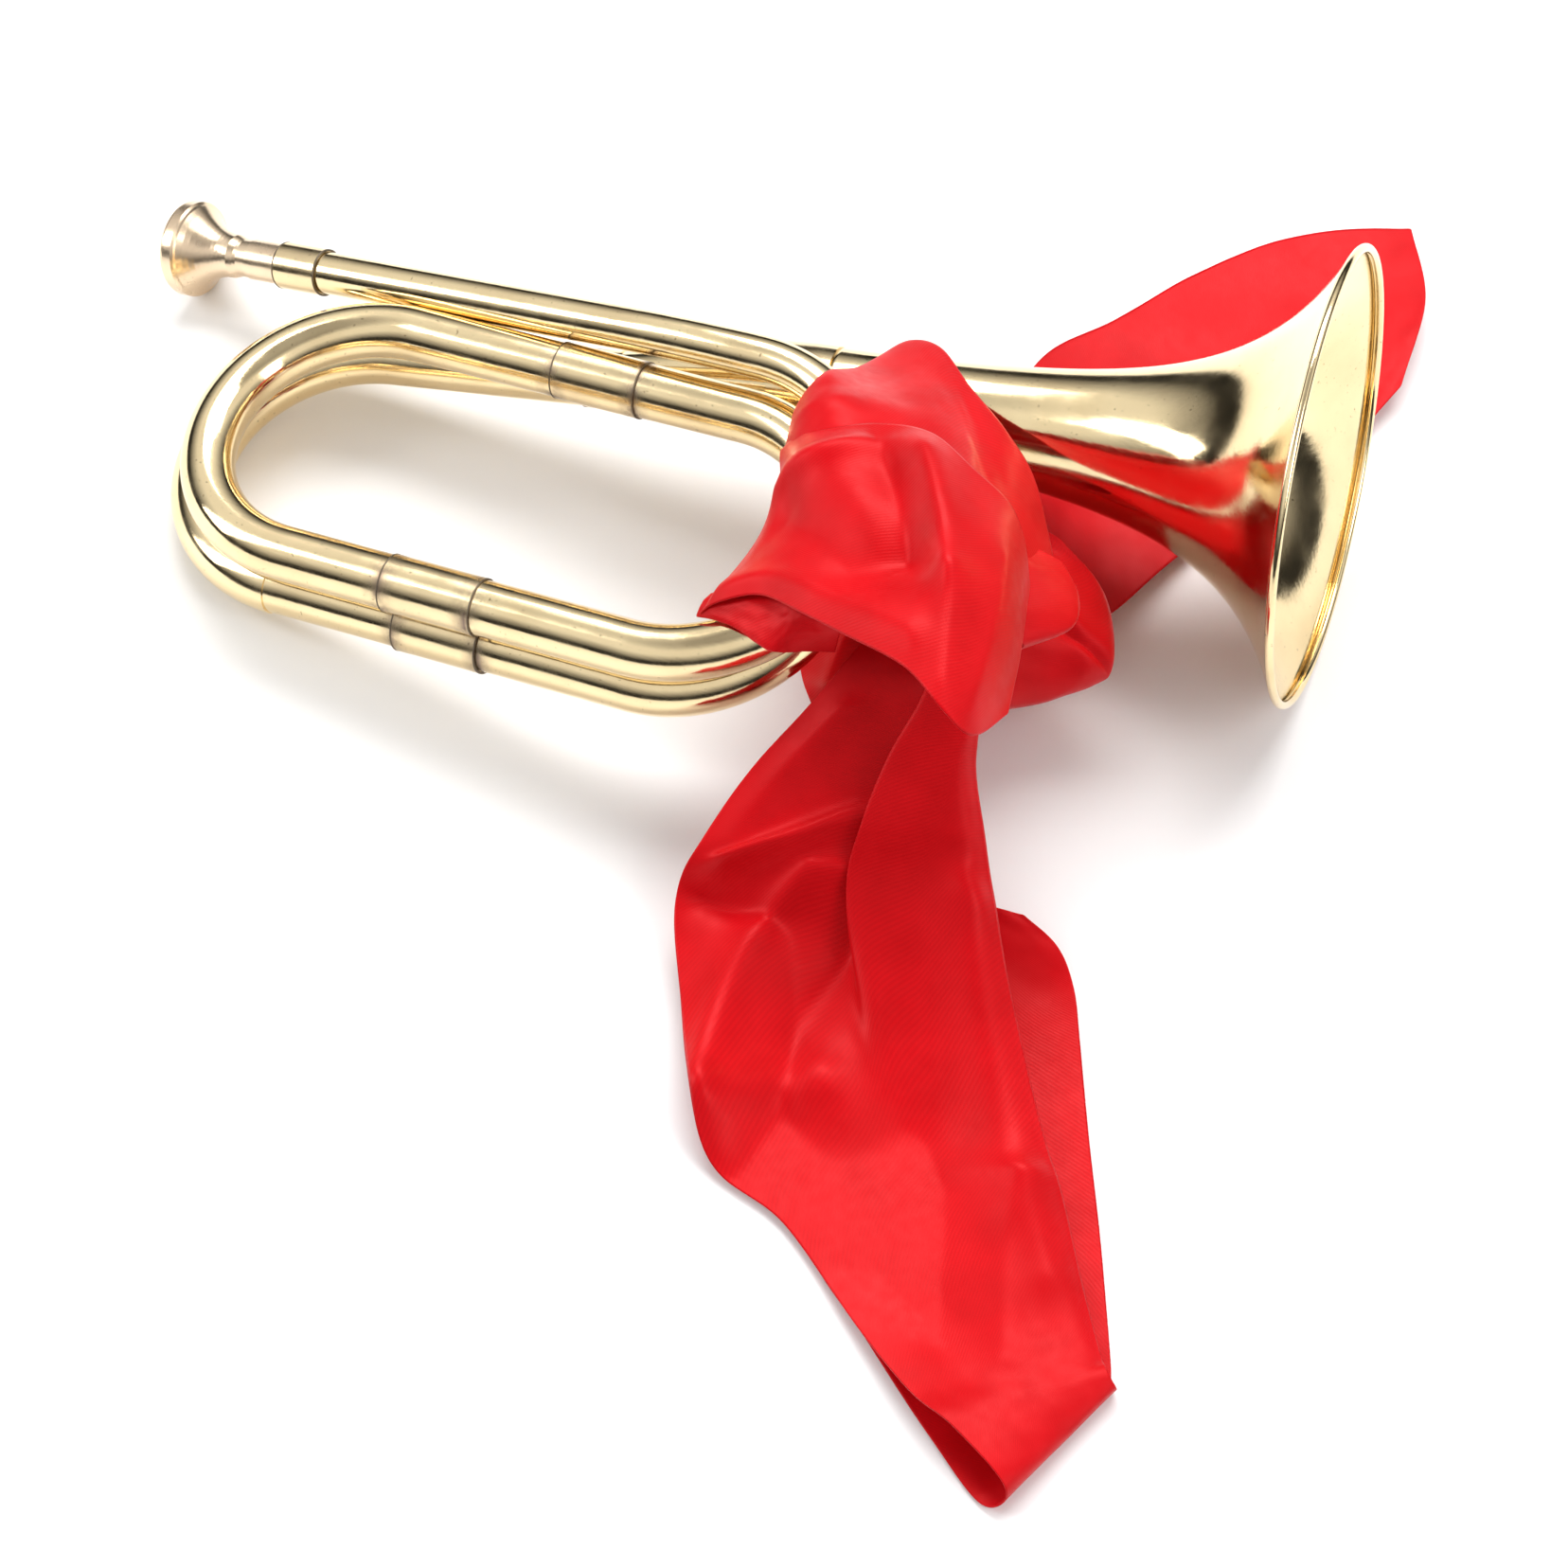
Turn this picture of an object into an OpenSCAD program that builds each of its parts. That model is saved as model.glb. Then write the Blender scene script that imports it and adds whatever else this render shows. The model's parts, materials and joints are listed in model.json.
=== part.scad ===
// A two-turn brass bugle with a long satin ribbon tied round its right bends.
// The horn is drawn in its own axes, X along the tubes, Y across the turns and Z
// from the rear turn to the front one, and rest_pose() then lays it on the table.

/* [Bell] */
// Radius of the bell mouth
bell_mouth_r = 60.4; // [55:0.2:62]
// Length of the bell from its tail collar to its mouth
bell_length = 134; // [125:1:140]
// Radius that the flare would shrink to if it never ended
bell_throat_r = 10; // [9:0.1:10.4]
// How far in from the mouth the flare has its steepest curl
bell_curl = 68; // [64:1:74]
// How quickly the flare closes
bell_power = 2.76; // [2.6:0.02:2.9]
// Radius of the wire rolled into the bell mouth
rim_wire_r = 1.2; // [0.9:0.1:1.4]

/* [Tubes] */
// Radius of the lead pipe
lead_r = 5.9; // [5.5:0.1:6]
// Radius of the front turn
front_r = 7.5; // [7.2:0.1:7.5]
// Radius of the rear turn
rear_r = 7.9; // [7.6:0.1:7.9]
// Thickness of the brass
wall = 0.5; // [0.4:0.05:0.7]
// How far a sleeve or collar stands proud of its tube
sleeve_proud = 0.35; // [0.3:0.05:0.45]

/* [Turns] */
// Half the height of the front turn
turn_half = 40; // [40:0.2:41]
// Distance between the front and rear turns
turn_gap = 16.5; // [16.5:0.1:17.5]
// Length of the lower tubes up to the front right bend
lower_run = 102; // [102:0.5:104]
// Where the rear right bend starts
rear_bend_start = 100; // [98:0.5:100]

/* [Mouthpiece] */
// Radius of the mouthpiece rim
rim_r = 13.6; // [13:0.1:13.8]
// Width of the rim's outer face
rim_w = 5; // [4.5:0.1:5.5]
// Radius of the shank where it enters the receiver
shank_r = 5.4; // [5.2:0.05:5.5]
// Gap round the shank in the receiver
shank_gap = 0.04; // [0.02:0.01:0.08]
// Bore through the mouthpiece
bore_r = 2; // [1.6:0.1:2.4]
// Depth of the cup inside the rim
cup_depth = 11; // [10:0.5:12]
// Outer radius of the receiver on the end of the lead pipe
receiver_r = 6.6; // [6.4:0.1:6.8]

/* [Ribbon] */
// Thickness of the ribbon's folded layers
ribbon_t = 4; // [3:0.5:5]

/* [Hidden] */
$fn = 96;
eps = 0.01;

X = [1, 0, 0];
Y = [0, 1, 0];

// How the horn lies: on the bell mouth, the rear left bend and the mouthpiece rim
rest_turn = [3.2, -8.97, 0];
rest_shift = [-99.2, -12, 32.12];
table_shift = [0.8, 28, 0];

// Rear turn
rear_z = -turn_gap;
rear_left_x = -7;
rear_left_bend_r = 41.5;
rear_exit = 9.2;
middle_rear_run = 58;
tail_cone_run = 46;

// Lead pipe: it slopes forwards over the bell tail, then curls into line with the bend
lead_dir = unit([1, -0.04, 0.13]);
lead_origin = [0, 53.4, 2.5];
lead_curl_r = 300;
lead_curl = acos(lead_dir * X);
lead_curl_start = lead_at(lower_run - 40.43);
lead_side = unit(X - (X * lead_dir) * lead_dir);
lead_end = bend_end(lead_curl_start, lead_dir, lead_side, lead_curl_r, lead_curl);
receiver_x = [-52, -38];
neck_x = -64;
rim_x = -87;
shank_tip_x = -30;
rim_round = 1.6;
rim_chamfer = 0.6;
cup_mouth_r = 9.6;
cup_wall_r = 9;
cup_flare = 13;
cup_flare_power = 2.4;
cup_foot_r = 6.2;
neck_r = 5.4;
shank_band_r = 5.75;
neck_gap = 1.2;

// Front right bend, from the lead pipe down to the front bottom tube
front_low = [lower_run, -turn_half, 0];
front_bend_top = [lower_run, lead_end.y, lead_end.z];
front_drop = front_low - front_bend_top;
front_bend_r = norm(front_drop) / 2;
front_down = unit(front_drop);
lead_bend_angle = 50;
collar_sweep = 6;

// Rear right bend, from the front middle tube down to the rear bottom tube
rear_top = [rear_bend_start, turn_half, 0];
rear_low = [rear_bend_start, -turn_half, rear_z];
rear_bend_r = norm(rear_low - rear_top) / 2;
rear_down = unit(rear_low - rear_top);

// Rear left bend, rear middle tube and the way out to the bell
rear_left_start = [rear_left_x, -turn_half, rear_z];
rear_left_end = bend_end(rear_left_start, -X, Y, rear_left_bend_r, 180 - rear_exit);
rear_mid_dir = bend_dir(-X, Y, 180 - rear_exit);
rear_mid_end = rear_left_end + middle_rear_run * rear_mid_dir;
cone_dir = unit([60, 9.5, 5.5]);
collar_bend_r = 120;
collar_angle = acos(cone_dir * rear_mid_dir);
collar_side = unit(cone_dir - (cone_dir * rear_mid_dir) * rear_mid_dir);
cone_start = bend_end(rear_mid_end, rear_mid_dir, collar_side, collar_bend_r, collar_angle);
cone_end = cone_start + tail_cone_run * cone_dir;
bell_dir = unit([0.995, 0.098, -0.024]);
tail_angle = acos(bell_dir * cone_dir);
tail_side = unit(bell_dir - (bell_dir * cone_dir) * cone_dir);
tail_start = bend_end(cone_end, cone_dir, tail_side, collar_bend_r, tail_angle);
mouth = tail_start + bell_length * bell_dir;
tail_r = bell_r(bell_length);
cone_end_r = tail_r - 0.3;

// Ribbon heights: over the table, and over the middle plane of the front turn
table_gap = 0.5;
wrap_z = 22;
back_wrap_z = -36;
knot_z = -28;
knot_t = 44;
bell_end_t = 5;
side_loop_t = 12;
front_tail_t = 9;
rear_tail_t = 7;

// Sleeves over the butted tube ends, as X stations
bottom_front_sleeve_x = [33, 60];
middle_front_sleeve_x = [45, 70];
bottom_rear_sleeve_x = [33, 58];

// Solder between the turns
solder_x = [20, 80];
solder_r = 3;
solder_half = 4;

function unit(v) = v / norm(v);
function bend_dir(dir, side, angle) = dir * cos(angle) + side * sin(angle);
function bend_end(from, dir, side, radius, angle) =
    from + radius * (dir * sin(angle) + side * (1 - cos(angle)));
function lead_at(x) = lead_origin + lead_dir * (x / lead_dir.x);
function on_front(x, side) = [x, side * turn_half, 0];
function on_rear(x) = [x, -turn_half, rear_z];
function middle(span) = (span[0] + span[1]) / 2;
// Radius of the bell at a distance back from its mouth
function bell_r(back) = bell_throat_r
    + (bell_mouth_r - bell_throat_r) * pow(bell_curl / (back + bell_curl), bell_power);

module rest_pose() {
    translate(rest_shift) rotate(rest_turn) children();
}

// Puts +Z along a direction
module aim(from, dir) {
    d = unit(dir);
    translate(from) rotate([0, acos(d.z), atan2(d.y, d.x)]) children();
}

module ring(outer, inner, length) {
    difference() {
        cylinder(h = length, r = outer);
        translate([0, 0, -1]) cylinder(h = length + 2, r = inner);
    }
}

module tube(from, to, r) {
    aim(from, to - from) ring(r, r - wall, norm(to - from));
}

module cone_tube(from, to, r1, r2) {
    length = norm(to - from);
    aim(from, to - from) difference() {
        cylinder(h = length, r1 = r1, r2 = r2);
        translate([0, 0, -eps]) cylinder(h = length + 2 * eps, r1 = r1 - wall, r2 = r2 - wall);
    }
}

// A round bend that starts along dir and turns towards side
module bend(from, dir, side, radius, angle, outer, inner) {
    x = -side;
    z = cross(x, dir);
    c = from + side * radius;
    multmatrix([[x.x, dir.x, z.x, c.x], [x.y, dir.y, z.y, c.y], [x.z, dir.z, z.z, c.z]])
        rotate_extrude(angle = angle) translate([radius, 0]) difference() {
            circle(r = outer);
            circle(r = inner);
        }
}

module sleeve(from, to, r) {
    aim(from, to - from) ring(r + sleeve_proud, r + 0.02, norm(to - from));
}

module brass(tone = "#d9c27a") {
    color(tone) rest_pose() children();
}

// Mouthpiece: its parts are drawn along +Z from the face of the rim
module at_rim() {
    aim(lead_at(rim_x), lead_dir) children();
}
rim_to_neck = (neck_x - rim_x) / lead_dir.x;
rim_to_tip = (shank_tip_x - rim_x) / lead_dir.x;

module mouthpiece_cup() {
    cup_back = rim_to_neck - 2;
    shoulder_r = rim_r - 2 * rim_chamfer;
    brass("#dcb88a") at_rim() difference() {
        rotate_extrude() polygon(concat(
            [[0, 0], [rim_r - rim_round, 0]],
            [for (a = [0:15:90]) [rim_r - rim_round * (1 - sin(a)), rim_round * (1 - cos(a))]],
            [[rim_r, rim_w - rim_chamfer], [rim_r - rim_chamfer, rim_w]],
            [for (t = [0:0.1:1]) [cup_foot_r + (shoulder_r - cup_foot_r) * pow(1 - t, cup_flare_power),
                rim_w + 0.3 + t * cup_flare]],
            [[neck_r + 0.2, cup_back - 1], [neck_r, cup_back], [neck_r, rim_to_neck], [0, rim_to_neck]]
        ));
        rotate_extrude() polygon(concat(
            [[0, -1], [cup_mouth_r, -1], [cup_mouth_r, 0]],
            [for (a = [0:10:80]) [cup_wall_r * cos(a), 1 + (cup_depth - 1) * sin(a)]],
            [[bore_r, cup_depth + 1], [bore_r, rim_to_neck + 1], [0, rim_to_neck + 1]]
        ));
    }
}

module mouthpiece_shank() {
    collar = (receiver_x[0] - neck_x) / lead_dir.x;
    brass("#dcb88a") at_rim() translate([0, 0, rim_to_neck]) difference() {
        union() {
            cylinder(h = neck_gap, r = neck_r);
            translate([0, 0, neck_gap]) cylinder(h = collar - neck_gap - 0.3, r = shank_band_r);
            cylinder(h = rim_to_tip - rim_to_neck, r = shank_r - shank_gap);
        }
        translate([0, 0, -1]) cylinder(h = rim_to_tip, r = bore_r);
    }
}

module mouthpiece_receiver() {
    from = lead_at(receiver_x[0]);
    to = lead_at(receiver_x[1]);
    brass("#d6b878") aim(from, to - from) ring(receiver_r, shank_r, norm(to - from));
}

module lead_pipe() {
    brass() tube(lead_at(receiver_x[1]), lead_curl_start, lead_r);
}

module lead_curl() {
    brass() bend(lead_curl_start, lead_dir, lead_side, lead_curl_r, lead_curl, lead_r, lead_r - wall);
}

// The lead pipe's own quarter of the front right bend
module lead_bend() {
    brass() bend(front_bend_top, X, front_down, front_bend_r, lead_bend_angle,
        lead_r, lead_r - wall);
}

module lead_collar() {
    from = bend_end(front_bend_top, X, front_down, front_bend_r, lead_bend_angle);
    dir = bend_dir(X, front_down, lead_bend_angle);
    side = bend_dir(front_down, -X, lead_bend_angle);
    brass() bend(from, dir, side, front_bend_r, collar_sweep,
        front_r + sleeve_proud, lead_r - wall);
}

module front_right_bend() {
    done = lead_bend_angle + collar_sweep;
    from = bend_end(front_bend_top, X, front_down, front_bend_r, done);
    dir = bend_dir(X, front_down, done);
    side = bend_dir(front_down, -X, done);
    brass() bend(from, dir, side, front_bend_r, 180 - done, front_r, front_r - wall);
}

module bottom_front_right_tube() {
    brass() tube(on_front(middle(bottom_front_sleeve_x), -1), front_low, front_r);
}

module bottom_front_sleeve() {
    brass("#d3ba74") sleeve(on_front(bottom_front_sleeve_x[0], -1),
        on_front(bottom_front_sleeve_x[1], -1), front_r);
}

module bottom_front_left_tube() {
    brass() tube(on_front(0, -1), on_front(middle(bottom_front_sleeve_x), -1), front_r);
}

module front_left_bend() {
    brass() bend(on_front(0, 1), -X, -Y, turn_half, 180, front_r, front_r - wall);
}

module middle_front_left_tube() {
    brass() tube(on_front(0, 1), on_front(middle(middle_front_sleeve_x), 1), front_r);
}

module middle_front_sleeve() {
    brass("#d3ba74") sleeve(on_front(middle_front_sleeve_x[0], 1),
        on_front(middle_front_sleeve_x[1], 1), front_r);
}

module middle_front_right_tube() {
    brass() tube(on_front(middle(middle_front_sleeve_x), 1), rear_top, front_r);
}

module rear_right_bend() {
    brass() bend(rear_top, X, rear_down, rear_bend_r, 180, front_r, front_r - wall);
}

module bottom_rear_right_tube() {
    brass() tube(on_rear(middle(bottom_rear_sleeve_x)), rear_low, front_r);
}

module bottom_rear_sleeve() {
    brass("#d3ba74") aim(on_rear(bottom_rear_sleeve_x[0]), X)
        ring(rear_r + sleeve_proud, front_r + 0.02, bottom_rear_sleeve_x[1] - bottom_rear_sleeve_x[0]);
}

module bottom_rear_left_tube() {
    brass() tube(on_rear(rear_left_x), on_rear(middle(bottom_rear_sleeve_x)), front_r);
}

module rear_left_bend() {
    brass() bend(rear_left_start, -X, Y, rear_left_bend_r, 180 - rear_exit, rear_r, front_r - wall);
}

module middle_rear_tube() {
    brass() tube(rear_left_end, rear_mid_end, rear_r);
}

module middle_rear_collar() {
    brass() bend(rear_mid_end, rear_mid_dir, collar_side, collar_bend_r, collar_angle,
        rear_r + sleeve_proud, rear_r - wall);
}

module tail_cone() {
    brass() cone_tube(cone_start, cone_end, rear_r, cone_end_r);
}

module tail_collar() {
    brass() bend(cone_end, cone_dir, tail_side, collar_bend_r, tail_angle,
        tail_r + sleeve_proud, cone_end_r - wall);
}

module bell() {
    steps = 40;
    back = [for (i = [0:steps]) bell_length * pow(i / steps, 1.6)];
    outside = [for (b = back) [bell_r(b), -b]];
    inside = [for (i = [0:steps]) [bell_r(back[steps - i]) - wall, -back[steps - i]]];
    brass() aim(mouth, bell_dir) rotate_extrude($fn = 128) polygon(concat(outside, inside));
}

module bell_rim_wire() {
    brass("#e3cf8d") aim(mouth, bell_dir) translate([0, 0, rim_wire_r + eps])
        rotate_extrude($fn = 128) translate([bell_mouth_r - wall / 2, 0]) circle(r = rim_wire_r);
}

// Solder between the front and rear turns
module solder_pads() {
    brass("#a89458") difference() {
        for (x = solder_x) translate([x, -turn_half, rear_z]) cylinder(h = turn_gap, r = solder_r);
        for (x = solder_x, z = [0, rear_z]) translate([x - solder_half, -turn_half, z])
            rotate([0, 90, 0]) cylinder(h = 2 * solder_half, r = front_r);
    }
}

// Ribbon: each piece is the space that its folds fill
module satin() {
    color("#d4202a") children();
}

module slab(points, z, t) {
    translate([0, 0, z]) linear_extrude(t) polygon(points);
}

module on_table(points, t) {
    satin() translate(table_shift) slab(points, table_gap, t);
}

module on_horn(points, z, t) {
    satin() rest_pose() slab(points, z, t);
}

// Folds pulled across the front of the right bends and the bell tail
module ribbon_front_wrap() {
    on_horn([[122, 32], [132, 50], [146, 54], [163, 47], [180, 37], [190, 26], [204, 2],
        [206, -46], [196, -46], [165, -36], [140, -32], [128, -40], [131, -12], [128, 8]],
        wrap_z, ribbon_t);
}

// The same folds where they pass behind the bends
module ribbon_back_wrap() {
    on_horn([[112, 30], [122, 44], [150, 48], [190, 36], [190, -30], [160, -34], [120, -30],
        [112, -10]], back_wrap_z, ribbon_t);
}

// Bunched turns of ribbon beside the bends, under the bell tail
module ribbon_knot() {
    on_horn([[158, 34], [164, 44], [184, 40], [194, 24], [196, -20], [188, -38], [168, -34],
        [158, -20]], knot_z, knot_t);
}

module ribbon_bell_end() {
    on_table([[84, 6], [104, 20], [118, 44], [132, 80], [148, 112], [150, 130], [144, 152],
        [131, 184], [104, 170], [84, 152], [66, 116], [52, 90], [60, 50]], bell_end_t);
}

module ribbon_side_loop() {
    on_table([[84, -34], [94, -27], [108, -10], [108, 0], [101, 10], [84, -4]], side_loop_t);
}

module ribbon_front_tail() {
    on_table([[68, -44], [71, -96], [88, -166], [97, -193], [121, -210], [158, -235], [169, -240],
        [187, -201], [165, -170], [147, -145], [128, -119], [113, -94], [98, -67], [86, -44]], front_tail_t);
}

module ribbon_left_tail() {
    on_table([[66, -46], [38, -62], [34, -81], [31, -114], [49, -148], [70, -181], [87, -192],
        [95, -192], [86, -166], [69, -96]], front_tail_t);
}

module ribbon_rear_tail() {
    on_table([[102, -70], [120, -87], [128, -90], [135, -98], [141, -109], [154, -136], [168, -165],
        [184, -192], [167, -170], [149, -145], [130, -119], [115, -94]], rear_tail_t);
}

mouthpiece_cup();
mouthpiece_shank();
mouthpiece_receiver();
lead_pipe();
lead_curl();
lead_bend();
lead_collar();
front_right_bend();
bottom_front_right_tube();
bottom_front_sleeve();
bottom_front_left_tube();
front_left_bend();
middle_front_left_tube();
middle_front_sleeve();
middle_front_right_tube();
rear_right_bend();
bottom_rear_right_tube();
bottom_rear_sleeve();
bottom_rear_left_tube();
rear_left_bend();
middle_rear_tube();
middle_rear_collar();
tail_cone();
tail_collar();
bell();
bell_rim_wire();
solder_pads();
ribbon_front_wrap();
ribbon_back_wrap();
ribbon_knot();
ribbon_side_loop();
ribbon_bell_end();
ribbon_front_tail();
ribbon_left_tail();
ribbon_rear_tail();
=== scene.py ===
import json
import math

import bpy
from mathutils import Matrix, Vector, noise


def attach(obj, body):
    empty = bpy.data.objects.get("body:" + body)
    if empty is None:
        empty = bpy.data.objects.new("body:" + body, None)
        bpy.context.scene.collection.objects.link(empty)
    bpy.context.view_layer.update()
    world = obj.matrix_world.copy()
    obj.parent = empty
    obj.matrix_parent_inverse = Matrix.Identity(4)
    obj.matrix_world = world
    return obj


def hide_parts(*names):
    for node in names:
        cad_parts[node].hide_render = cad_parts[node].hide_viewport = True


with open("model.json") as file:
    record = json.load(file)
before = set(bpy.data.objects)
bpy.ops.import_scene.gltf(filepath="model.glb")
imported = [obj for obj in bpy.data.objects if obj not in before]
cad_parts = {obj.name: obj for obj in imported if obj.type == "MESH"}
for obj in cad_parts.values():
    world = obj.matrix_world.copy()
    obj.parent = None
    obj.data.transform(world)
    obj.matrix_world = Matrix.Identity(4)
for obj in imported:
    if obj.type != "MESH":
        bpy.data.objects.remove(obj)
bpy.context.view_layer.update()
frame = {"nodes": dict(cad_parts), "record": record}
nodes = frame["nodes"]

MM = 0.001
RIBBON_THICK = 0.35 * MM
# Half the width of a line of solder
SEAM_HALF = 0.2 * MM
CLEAN_BRASS = (0.92, 0.74, 0.44)
TARNISHED_BRASS = (0.80, 0.61, 0.34)

# How the horn lies on the table: its own axes, turned about X and then about Y
REST_TURN = (3.2, -8.97)
REST_SHIFT = Vector((-99.2, -12, 32.12))
HORN_TURN = (Matrix.Rotation(math.radians(REST_TURN[1]), 3, "Y")
             @ Matrix.Rotation(math.radians(REST_TURN[0]), 3, "X"))
HORN_UP = HORN_TURN @ Vector((0, 0, 1))


# ---------------------------------------------------------------- camera, floor and light

def make_camera():
    """A long lens about a metre away, looking down on the horn from the ribbon's side."""
    azimuth, elevation, roll = (math.radians(a) for a in (22.5, 55.7, 2.0))
    target = Vector((0.0520, -0.0636, 0.030))
    distance = 0.967
    back = Vector((math.sin(azimuth) * math.cos(elevation),
                   -math.cos(azimuth) * math.cos(elevation),
                   math.sin(elevation)))
    data = bpy.data.cameras.new("camera")
    data.lens = 87
    data.sensor_width = 36
    camera = bpy.data.objects.new("camera", data)
    bpy.context.scene.collection.objects.link(camera)
    camera.rotation_mode = "QUATERNION"
    camera.location = target + back * distance
    turn = (-back).to_track_quat("-Z", "Y")
    camera.rotation_quaternion = turn @ Matrix.Rotation(roll, 4, "Z").to_quaternion()
    bpy.context.scene.camera = camera


def area_light(name, place, aim, size, power):
    data = bpy.data.lights.new(name, "AREA")
    data.shape = "RECTANGLE"
    data.size, data.size_y = size
    data.energy = power
    light = bpy.data.objects.new(name, data)
    bpy.context.scene.collection.objects.link(light)
    light.location = place
    light.rotation_mode = "QUATERNION"
    light.rotation_quaternion = (Vector(aim) - Vector(place)).to_track_quat("-Z", "Y")


def make_studio():
    """White overhead light, with a dark band round the horizon for the brass to reflect."""
    world = bpy.data.worlds.new("studio")
    bpy.context.scene.world = world
    world.use_nodes = True
    tree = world.node_tree
    place = tree.nodes.new("ShaderNodeTexCoord")
    split = tree.nodes.new("ShaderNodeSeparateXYZ")
    ramp = tree.nodes.new("ShaderNodeValToRGB")
    tree.links.new(place.outputs["Generated"], split.inputs["Vector"])
    tree.links.new(split.outputs["Z"], ramp.inputs["Fac"])
    tree.links.new(ramp.outputs["Color"], tree.nodes["Background"].inputs["Color"])
    stops = ((0.0, 0.02), (0.20, 0.04), (0.42, 0.5), (0.60, 1.0), (0.80, 1.0), (0.92, 0.4),
             (1.0, 0.5))
    points = ramp.color_ramp.elements
    while len(points) < len(stops):
        points.new(0.5)
    for point, (height, grey) in zip(points, stops):
        point.position = height
        point.color = (grey, grey, grey, 1)
    tree.nodes["Background"].inputs["Strength"].default_value = 0.9
    centre = (0, 0, 0.03)
    area_light("top_softbox", (-0.2, 0.9, 1.5), centre, (1.6, 0.8), 30)
    area_light("left_softbox", (-1.4, -0.5, 0.9), centre, (0.5, 1.2), 12)
    area_light("right_softbox", (1.3, -0.2, 1.0), centre, (0.5, 1.2), 8)


def make_floor(material):
    half = 3
    mesh = bpy.data.meshes.new("floor")
    mesh.from_pydata([(-half, -half, 0), (half, -half, 0), (half, half, 0), (-half, half, 0)],
                     [], [(0, 1, 2, 3)])
    floor = bpy.data.objects.new("floor", mesh)
    floor.data.materials.append(material)
    bpy.context.scene.collection.objects.link(floor)


# ---------------------------------------------------------------- materials

class Nodes:
    """A short way to write a shader's node tree."""

    def __init__(self, name):
        self.material = bpy.data.materials.new(name)
        self.material.use_nodes = True
        self.tree = self.material.node_tree
        self.shader = self.tree.nodes["Principled BSDF"]

    def add(self, kind, settings=None, **inputs):
        node = self.tree.nodes.new("ShaderNode" + kind)
        for key, value in (settings or {}).items():
            setattr(node, key, value)
        for key, value in inputs.items():
            self.put(node, key.replace("_", " "), value)
        return node

    def put(self, node, socket, value):
        target = node.inputs[socket]
        if hasattr(value, "links"):
            self.tree.links.new(value, target)
        else:
            target.default_value = value

    def set(self, **inputs):
        for key, value in inputs.items():
            self.put(self.shader, key.replace("_", " "), value)

    def noise(self, scale, detail=3, stretch=None):
        vector = self.add("TexCoord").outputs["Object"]
        if stretch:
            vector = self.add("Mapping", None, Vector=vector, Scale=stretch).outputs["Vector"]
        return self.add("TexNoise", None, Vector=vector, Scale=scale, Detail=detail).outputs["Fac"]

    def sum(self, operation, *values):
        node = self.add("Math", {"operation": operation})
        for socket, value in enumerate(values):
            self.put(node, socket, value)
        return node.outputs[0]

    def ramp(self, value, *stops):
        node = self.add("ValToRGB", None, Fac=value)
        points = node.color_ramp.elements
        while len(points) < len(stops):
            points.new(0.5)
        for point, (place, colour) in zip(points, stops):
            point.position = place
            point.color = (*colour, 1) if hasattr(colour, "__len__") else (colour,) * 3 + (1,)
        return node.outputs["Color"]

    def mix(self, amount, a, b):
        node = self.add("Mix", {"data_type": "RGBA", "blend_type": "MIX"})
        self.put(node, 0, amount)
        self.put(node, 6, a if hasattr(a, "links") else (*a, 1))
        self.put(node, 7, b if hasattr(b, "links") else (*b, 1))
        return node.outputs[2]

    def bump(self, *layers):
        normal = None
        for height, strength, distance in layers:
            node = self.add("Bump", None, Height=height, Strength=strength, Distance=distance)
            if normal:
                self.put(node, "Normal", normal)
            normal = node.outputs["Normal"]
        self.put(self.shader, "Normal", normal)


# Where the tubes were brazed together, in millimetres along the horn: below and above
# the middle of its turns
LOW_JOINTS = (33, 59)
HIGH_JOINTS = (45, 70)
STAIN_REACH = 5 * MM


def near_joint(m):
    """How stained the brass is: 1 beside a joint, falling to 0 a few millimetres away."""
    place = m.add("TexCoord").outputs["Object"]
    spots = []
    for axis in ((1, 0, 0), (0, 1, 0)):
        way = HORN_TURN @ Vector(axis)
        dot = m.add("VectorMath", {"operation": "DOT_PRODUCT"})
        m.put(dot, 0, place)
        m.put(dot, 1, way)
        spots.append(m.sum("SUBTRACT", dot.outputs["Value"], way.dot(REST_SHIFT) * MM))
    along_horn, across_horn = spots
    stains = []
    for joints in (LOW_JOINTS, HIGH_JOINTS):
        away = [m.sum("ABSOLUTE", m.sum("SUBTRACT", along_horn, joint * MM)) for joint in joints]
        stains.append(m.sum("MINIMUM", *away))
    upper = m.sum("GREATER_THAN", across_horn, 0.0)
    away = m.mix(upper, *stains)
    return m.ramp(m.sum("DIVIDE", away, STAIN_REACH), (0.0, 1.0), (0.3, 0.55), (1.0, 0.0))


def brass_material(name, clean, tarnish, rough, tarnish_amount, stained=False):
    m = Nodes(name)
    patch = m.ramp(m.noise(45, 5), (0.5 - tarnish_amount, 0.0), (0.85, 1.0))
    speck = m.ramp(m.noise(900, 2), (0.68, 0.0), (0.76, 1.0))
    colour = m.mix(patch, clean, tarnish)
    colour = m.mix(speck, colour, tuple(c * 0.6 for c in tarnish))
    dull = m.ramp(m.noise(120, 6), (0.3, rough), (0.8, rough + 0.12))
    if stained:
        blotch = m.ramp(m.noise(190, 5), (0.32, 0.0), (0.56, 1.0))
        stain = m.mix(near_joint(m), (0, 0, 0), blotch)
        colour = m.mix(stain, colour, (0.24, 0.17, 0.13))
        dull = m.mix(stain, dull, (0.4, 0.4, 0.4))
    m.set(Base_Color=colour, Metallic=1.0, Roughness=dull)
    scratches = m.noise(60, 8, stretch=(1.0, 14.0, 14.0))
    m.bump((m.noise(28, 2), 0.05, 0.004), (scratches, 0.05, 0.0004))
    return m.material


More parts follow.
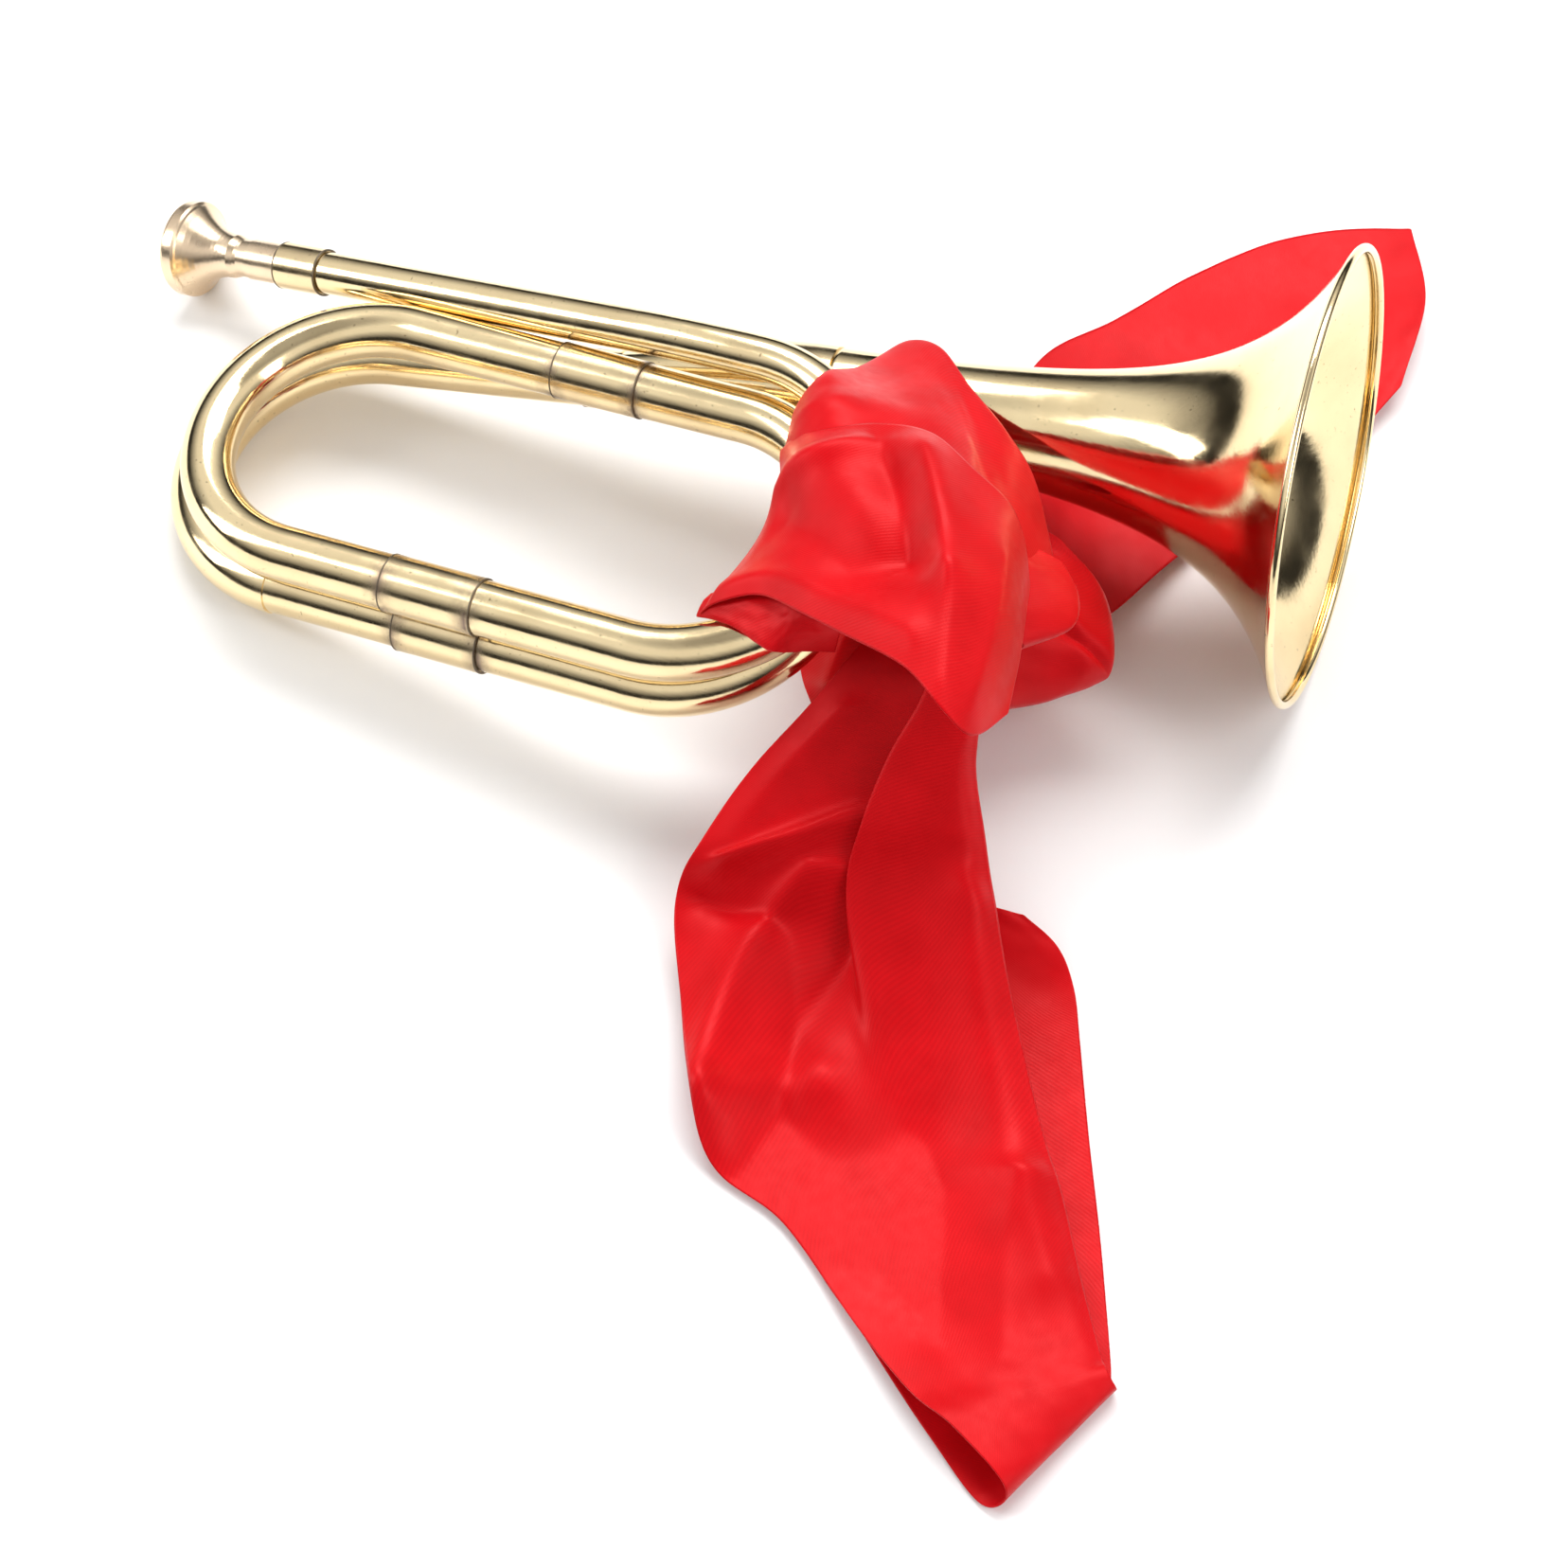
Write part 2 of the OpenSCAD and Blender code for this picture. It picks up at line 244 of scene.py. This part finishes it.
def satin_material():
    m = Nodes("red_satin")
    uv = m.add("TexCoord").outputs["UV"]
    twill = m.add("TexWave", {"bands_direction": "DIAGONAL"}, Vector=uv, Scale=700, Distortion=0.6,
                  Detail=2).outputs["Fac"]
    cloud = m.ramp(m.noise(70, 4), (0.35, 0.0), (0.65, 1.0))
    colour = m.mix(cloud, (0.52, 0.002, 0.005), (0.60, 0.003, 0.007))
    colour = m.mix(m.ramp(twill, (0.3, 0.0), (0.7, 0.2)), colour, (0.34, 0.001, 0.004))
    m.set(Base_Color=colour, Specular_IOR_Level=0.6, Specular_Tint=(1.0, 0.14, 0.14, 1),
          Sheen_Weight=0.12, Sheen_Roughness=0.4, Sheen_Tint=(1.0, 0.15, 0.15, 1))
    m.put(m.shader, "Roughness", m.ramp(m.noise(300, 3), (0.3, 0.36), (0.8, 0.48)))
    m.bump((twill, 0.15, 0.0001), (m.noise(2500, 2), 0.08, 0.0001))
    return m.material


def floor_material():
    m = Nodes("floor_paint")
    m.set(Base_Color=(0.9, 0.9, 0.9, 1), Roughness=0.6)
    return m.material


# ---------------------------------------------------------------- the ribbon

def on_horn(points):
    """Places given in the horn's own axes, as places over the table."""
    return [HORN_TURN @ Vector(p) + REST_SHIFT for p in points]


def along(points, t):
    """A smooth curve through points, at t from 0 to 1."""
    last = len(points) - 1
    i = min(int(t * last), last - 1)
    f = t * last - i
    b = Vector(points[i])
    c = Vector(points[i + 1])
    if last == 1:
        return b.lerp(c, f)
    a = Vector(points[i - 1]) if i else 2 * b - c
    d = Vector(points[i + 2]) if i + 2 <= last else 2 * c - b
    return 0.5 * (2 * b + (c - a) * f + (2 * a - 5 * b + 4 * c - d) * f ** 2
                  + (3 * b - a - 3 * c + d) * f ** 3)


def smooth(low, high, x):
    f = min(max((x - low) / (high - low), 0), 1)
    return f * f * (3 - 2 * f)


class Fold:
    """A ridge or a valley that runs from one place on the cloth to another.
    Places are (s, t): s along the ribbon and t across it, each from 0 to 1.
    The width is a share of the ribbon's width, and heights are in millimetres."""

    def __init__(self, start, end, width, height, end_height=None):
        self.start, self.end, self.width = start, end, width
        self.heights = (height, height if end_height is None else end_height)

    def at(self, s, t, aspect):
        ax, ay = self.start[0] * aspect, self.start[1]
        dx, dy = self.end[0] * aspect - ax, self.end[1] - ay
        reach = ((s * aspect - ax) * dx + (t - ay) * dy) / (dx * dx + dy * dy)
        inside = min(max(reach, 0), 1)
        away = math.hypot(s * aspect - ax - dx * inside, t - ay - dy * inside)
        height = self.heights[0] + (self.heights[1] - self.heights[0]) * inside
        crest = 0.35
        return height * math.exp(crest - math.hypot(away / self.width, crest))


class Pleat:
    """A place where the cloth doubles over itself, and opens out along the ribbon."""

    def __init__(self, at, drift, width, overlap, height, until):
        self.where, self.drift, self.width = at, drift, width
        self.overlap, self.height, self.until = overlap, height, until

    def at(self, s, t):
        fade = 1 - smooth(0.35 * self.until, self.until, s)
        phase = (t - self.where - self.drift * smooth(0.08, 0.28, s)) / self.width
        inside = abs(phase) < 0.5
        sideways = -self.overlap * fade * math.sin(2 * math.pi * phase) if inside else 0
        lift = self.height * fade * (smooth(-0.25, 0.25, phase) - smooth(0.25, 1.6, phase))
        return sideways, lift


def cloth(name, guides, up=(0, 0, 1), steps=(110, 44), crown=0.0, folds=(), pleats=(),
          crumple=0.5, seed=0, lowest=(0.6, 0.6)):
    """A ribbon drawn through guide curves that run along it, with folds raised along up.
    Places and heights are in millimetres, and lowest is the least height above the table,
    first for the front layer and then for the part that turns back under it."""
    up = Vector(up).normalized()
    rows, columns = steps
    lines = [[along(g, i / rows) for g in guides] for i in range(rows + 1)]
    middle = [along(line, 0.5) for line in lines]
    length = sum((b - a).length for a, b in zip(middle, middle[1:]))
    width = sum(sum((b - a).length for a, b in zip(line, line[1:])) for line in lines) / (rows + 1)
    aspect = length / width
    points = []
    for i, line in enumerate(lines):
        s = i / rows
        for j in range(columns + 1):
            t = j / columns
            moves = [pleat.at(s, t) for pleat in pleats]
            sideways = sum(m[0] for m in moves)
            lift = sum(m[1] for m in moves) + crown * math.sin(math.pi * t) ** 0.7
            lift += sum(fold.at(s, t, aspect) for fold in folds)
            lift += crumple * 2.2 * noise.noise(Vector((s * aspect * 1.6, t * 2.2, seed)))
            lift += crumple * 0.7 * noise.noise(Vector((s * aspect * 5.0, t * 6.0, seed + 7)))
            point = along(line, min(max(t + sideways, 0), 1)) + up * lift
            point.z = max(point.z, lowest[0] if s < 0.6 else lowest[1])
            points.append(point * MM)
    faces = []
    for i in range(rows):
        for j in range(columns):
            corner = i * (columns + 1) + j
            faces.append((corner, corner + 1, corner + columns + 2, corner + columns + 1))
    mesh = bpy.data.meshes.new(name)
    mesh.from_pydata(points, [], faces)
    weave = mesh.uv_layers.new(name="weave")
    for loop in mesh.loops:
        row, column = divmod(loop.vertex_index, columns + 1)
        weave.data[loop.index].uv = (row / rows * length * MM, column / columns * width * MM)
    mesh.shade_smooth()
    piece = bpy.data.objects.new(name, mesh)
    bpy.context.scene.collection.objects.link(piece)
    rounding = piece.modifiers.new("rounding", "SUBSURF")
    rounding.levels = rounding.render_levels = 1
    thickness = piece.modifiers.new("thickness", "SOLIDIFY")
    thickness.thickness = RIBBON_THICK
    thickness.offset = 0
    return piece


def sheet(piece, replaced=()):
    """Puts the satin on a piece, hangs it on the horn and hides the CAD parts it replaces."""
    piece.data.materials.append(satin)
    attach(piece, "horn")
    if replaced:
        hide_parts(*replaced)


def front_tail():
    """The long end: out of the knot, down to the table, round at its foot and back behind."""
    left = [(64, -20, 60), (58, -34, 54), (52, -48, 44), (44, -66, 34), (39, -85, 24),
            (37, -97, 14), (48, -118, 6), (71, -155, 3), (98, -165, 3), (126, -184, 5),
            (145, -196, 8), (157, -201, 11), (172, -208, 10), (175, -211, 5), (169, -212, 1),
            (153, -202, 1), (129, -185, 1), (104, -166, 1), (93, -138, 1), (88, -98, 2),
            (88, -78, 5), (90, -66, 9)]
    right = [(88, -24, 60), (92, -36, 54), (95, -41, 48), (98, -49, 38), (105, -58, 28),
             (113, -69, 17), (128, -91, 12), (148, -119, 7), (159, -133, 5), (171, -151, 5),
             (180, -164, 6), (185, -171, 7), (188, -173, 5), (188, -172, 2), (186, -170, 1),
             (184, -165, 1), (170, -136, 1), (157, -111, 2), (145, -87, 3), (138, -74, 5),
             (130, -66, 8), (119, -62, 10)]
    folds = [Fold((0.00, 0.90), (0.24, 0.92), 0.12, 8, 5),
             Fold((0.24, 0.92), (0.42, 0.86), 0.12, 5, 3),
             Fold((0.36, 0.88), (0.47, 0.52), 0.12, 5, 2),
             Fold((0.33, 0.66), (0.44, 0.28), 0.16, -5, -3),
             Fold((0.05, 1.00), (0.50, 1.00), 0.05, -3, -2),
             Fold((0.215, 0.13), (0.17, 0.55), 0.06, 7, 4),
             Fold((0.235, 0.10), (0.25, 0.32), 0.07, -5, -4),
             Fold((0.315, 0.02), (0.22, 0.42), 0.07, 8, 6),
             Fold((0.32, 0.03), (0.31, 0.38), 0.06, 6, 5),
             Fold((0.26, 0.46), (0.38, 0.06), 0.07, -6, -4),
             Fold((0.10, 0.20), (0.19, 0.12), 0.14, 4, 3)]
    piece = cloth("ribbon_front_tail_cloth", (left, right), steps=(230, 60), folds=folds,
                  pleats=[Pleat(0.78, -0.24, 0.36, 0.20, 9, 0.36)], crumple=0.35, seed=3,
                  lowest=(2.4, 0.6))
    sheet(piece,
          ("ribbon_front_tail", "ribbon_left_tail", "ribbon_rear_tail"))


def front_wrap():
    """The wide flap across the front of the right bends."""
    top = on_horn([(120, 23, 12), (124, 24, 17), (132, 24, 23), (148, 28, 27), (163, 27, 27),
                   (177, 21, 26), (187, 18, 21), (193, 12, 15), (197, 4, 8)])
    middle = on_horn([(127, 3, 12), (131, 1, 19), (139, -1, 26), (153, -1, 32), (170, -4, 35),
                      (184, -8, 32), (195, -11, 26), (201, -14, 18), (203, -16, 10)])
    low = on_horn([(120, -30, 7), (126, -28, 12), (137, -26, 17), (151, -31, 22), (167, -37, 26),
                   (186, -44, 29), (199, -52, 27), (206, -52, 21), (208, -37, 12)])
    folds = [Fold((0.02, 0.44), (0.36, 0.12), 0.11, 8, 7),
             Fold((0.38, 0.10), (0.52, 0.60), 0.11, -8, -7),
             Fold((0.44, 0.75), (0.52, 0.60), 0.10, -2, -4),
             Fold((0.20, 0.55), (0.40, 0.70), 0.16, -4, -3),
             Fold((0.50, 0.12), (0.62, 0.58), 0.13, 6, 5),
             Fold((0.06, 0.92), (0.60, 0.88), 0.09, 4, 3),
             Fold((0.64, 0.60), (0.72, 0.92), 0.10, 4, 3),
             Fold((0.80, 0.35), (0.84, 0.85), 0.10, 3, 3)]
    piece = cloth("ribbon_front_wrap_cloth", (top, middle, low), up=HORN_UP, folds=folds,
                  crumple=0.4, seed=11)
    sheet(piece,
          ("ribbon_front_wrap",))


def tail_wrap():
    """The turn of ribbon over the lead pipe and the bell tail."""
    outer = on_horn([(119, 29, 9), (119, 35, 14), (122, 40, 19), (124, 47, 18), (126, 57, 9),
                     (127, 67, 2), (132, 77, 0), (142, 76, 1), (156, 63, 5), (171, 52, 4),
                     (182, 43, -2), (195, 23, -12)])
    inner = on_horn([(122, 20, 8), (126, 18, 15), (132, 19, 20), (141, 22, 23), (151, 24, 23),
                     (163, 24, 22), (173, 20, 21), (182, 14, 18), (187, 6, 14), (190, 0, 9),
                     (192, -6, 6), (194, -12, 2)])
    piece = cloth("ribbon_tail_wrap_cloth", (outer, inner), up=HORN_UP, crown=2,
                  folds=[Fold((0.15, 0.4), (0.5, 0.6), 0.2, 2, 1)], crumple=0.35, seed=21)
    sheet(piece)


def back_wrap():
    """The same turn where it passes behind the bends."""
    left = on_horn([(130, 62, 4), (131, 74, -2), (132, 82, -13), (130, 80, -27), (124, 40, -36),
                    (128, 0, -38), (142, -22, -34), (151, -29, -22)])
    right = on_horn([(157, 57, 3), (158, 69, -2), (160, 80, -13), (160, 81, -28), (164, 40, -38),
                     (168, 0, -40), (172, -30, -34), (170, -42, -24)])
    piece = cloth("ribbon_back_wrap_cloth", (left, right), up=HORN_UP, crumple=0.8, seed=31,
                  folds=[Fold((0.2, 0.3), (0.9, 0.6), 0.1, -3, -3),
                         Fold((0.3, 0.7), (0.8, 0.2), 0.1, 3, 3)])
    sheet(piece, ("ribbon_back_wrap",))


def side_loops():
    """Loops of the knot that stand out under the bell tail."""
    upper = on_horn([(180, 24, 0), (186, 14, 4), (190, 2, 4), (190, -10, 4)])
    edge = on_horn([(197, 24, -8), (204, 16, -9), (206, 6, -8), (198, -6, -4)])
    under = on_horn([(182, 22, -14), (188, 12, -14), (190, 0, -12), (188, -12, -8)])
    piece = cloth("ribbon_knot_cloth", (upper, edge, under), up=HORN_UP, steps=(60, 36),
                  crumple=0.5, seed=41)
    sheet(piece, ("ribbon_knot",))
    top = [(74, 26, 50), (84, 20, 50), (88, 10, 48), (88, 0, 46), (86, -8, 44), (80, -18, 42)]
    rim = [(92, 26, 46), (106, 22, 36), (114, 9, 30), (112, 3, 26), (104, -5, 24), (92, -16, 26)]
    low = [(76, 22, 30), (88, 14, 22), (92, 6, 18), (90, 0, 17), (86, -6, 18), (78, -16, 20)]
    piece = cloth("ribbon_side_loop_cloth", (top, rim, low), steps=(80, 48), crumple=0.8, seed=51,
                  folds=[Fold((0.3, 0.1), (0.75, 0.5), 0.10, 3, 2),
                         Fold((0.5, 0.2), (0.5, 0.5), 0.06, -3, -2)])
    sheet(piece, ("ribbon_side_loop",))


def under_flap():
    """The edge of the turn underneath, showing below the wide flap."""
    top = on_horn([(121, -24, 10), (132, -22, 14), (145, -24, 18), (153, -26, 19), (162, -28, 20)])
    low = on_horn([(119, -30, 7), (131, -32, 10), (142, -36, 10), (148, -34, 9), (158, -30, 8)])
    piece = cloth("ribbon_under_flap_cloth", (top, low), up=HORN_UP, steps=(50, 24), crown=1.5,
                  crumple=0.4, seed=61)
    sheet(piece)


def bell_end():
    """The short end, laid out under the bell."""
    top = [(60, 28, 34), (52, 70, 14), (52, 117, 5), (66, 141, 4), (80, 167, 4), (96, 188, 4),
           (114, 202, 4), (132, 209, 6)]
    middle = [(76, 14, 36), (76, 46, 18), (79, 78, 8), (91, 104, 5), (102, 130, 4),
              (116, 152, 4), (130, 170, 4), (145, 182, 9)]
    low = [(88, 0, 34), (96, 20, 18), (104, 38, 9), (113, 67, 5), (124, 92, 3), (134, 112, 3),
           (143, 130, 4), (149, 150, 7)]
    piece = cloth("ribbon_bell_end_cloth", (top, middle, low), steps=(120, 44), crumple=0.5,
                  seed=71, folds=[Fold((0.1, 0.3), (0.5, 0.7), 0.1, 4, 2)])
    sheet(piece, ("ribbon_bell_end",))


# ---------------------------------------------------------------- the horn

def mount(name):
    """The place and direction of one of the record's mounts."""
    found = next(m for m in frame["record"]["mounts"] if m["name"] == name)
    return Vector(found["pos_m"]), Vector(found["axis"]).normalized()


def revolved(name, profile, origin, axis, material, segments=192):
    """Turns a profile of (along, radius) pairs, in metres, about an axis."""
    turn = axis.to_track_quat("Z", "Y").to_matrix()
    points = []
    for along_axis, radius in profile:
        for k in range(segments):
            angle = 2 * math.pi * k / segments
            ring = Vector((radius * math.cos(angle), radius * math.sin(angle), along_axis))
            points.append(origin + turn @ ring)
    faces = []
    for i in range(len(profile) - 1):
        for k in range(segments):
            a = i * segments + k
            b = i * segments + (k + 1) % segments
            faces.append((a, b, b + segments, a + segments))
    mesh = bpy.data.meshes.new(name)
    mesh.from_pydata(points, [], faces)
    mesh.shade_smooth()
    mesh.materials.append(material)
    piece = bpy.data.objects.new(name, mesh)
    bpy.context.scene.collection.objects.link(piece)
    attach(piece, "horn")
    return piece


def spun_bell():
    """The bell's thin wall, turned finely enough for its reflections to flow."""
    mouth_r, throat_r, curl, power = 60.4, 10, 68, 2.76
    length, wall, steps = 134, 0.5, 160
    backs = [length * (i / steps) ** 1.6 for i in range(steps + 1)]

    def radius(back):
        return throat_r + (mouth_r - throat_r) * (curl / (back + curl)) ** power

    outside = [(-back * MM, radius(back) * MM) for back in backs]
    inside = [(-back * MM, (radius(back) - wall) * MM) for back in reversed(backs)]
    origin, axis = mount("bell_mouth")
    piece = revolved("bell_wall", outside + inside + outside[:1], origin, axis,
                     finishes["tube_brass"])
    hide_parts("bell")


def solder_seams():
    """A thin dark line of solder where each sleeve ends."""
    line = SEAM_HALF
    tube_axis = (HORN_TURN @ Vector((1, 0, 0))).normalized()
    lead_axis = -mount("mouthpiece_receiver")[1]
    sleeves = (("bottom_front_sleeve", tube_axis), ("middle_front_sleeve", tube_axis),
               ("bottom_rear_sleeve", tube_axis), ("mouthpiece_receiver", lead_axis))
    for name, axis in sleeves:
        spots = [v.co for v in nodes[name].data.vertices]
        side = axis.cross(Vector((0, 0, 1))).normalized()
        frame_axes = (axis, side, axis.cross(side))
        spans = [[spot.dot(a) for spot in spots] for a in frame_axes]
        centre = sum((a * (max(r) + min(r)) / 2 for a, r in zip(frame_axes, spans)), Vector())
        half = (max(spans[0]) - min(spans[0])) / 2
        outer = (max(spans[1]) - min(spans[1])) / 2
        for end, place in (("left", -half), ("right", half)):
            profile = [(-line, outer - 3 * line), (-line, outer + 0.3 * line),
                       (line, outer + 0.3 * line), (line, outer - 3 * line),
                       (-line, outer - 3 * line)]
            revolved(f"{name}_{end}_seam", profile, centre + axis * place, axis,
                     finishes["solder"])


make_camera()
make_studio()
make_floor(floor_material())
bpy.context.scene.view_settings.view_transform = "Standard"

STAINED = ("bottom_front_right_tube", "bottom_front_left_tube", "middle_front_left_tube",
           "middle_front_right_tube", "bottom_rear_right_tube", "bottom_rear_left_tube")
stained_brass = brass_material("stained_brass", CLEAN_BRASS, TARNISHED_BRASS, 0.08, 0.04,
                               stained=True)
finishes = {
    "tube_brass": brass_material("tube_brass", CLEAN_BRASS, TARNISHED_BRASS, 0.08, 0.04),
    "sleeve_brass": brass_material("sleeve_brass", (0.90, 0.72, 0.43), (0.70, 0.53, 0.31), 0.11, 0.10,
                                   stained=True),
    "mouthpiece_brass": brass_material("mouthpiece_brass", (0.88, 0.69, 0.48), (0.70, 0.52, 0.36),
                                       0.20, 0.10),
    "solder": brass_material("solder", (0.20, 0.16, 0.11), (0.10, 0.08, 0.06), 0.4, 0.2),
}
for part in frame["record"]["subparts"]:
    slot = part["material_slot"]
    if slot in finishes:
        mesh = nodes[part["node"]].data
        mesh.materials.clear()
        mesh.materials.append(stained_brass if part["node"] in STAINED else finishes[slot])

spun_bell()
solder_seams()

satin = satin_material()
front_wrap()
tail_wrap()
back_wrap()
under_flap()
side_loops()
bell_end()
front_tail()
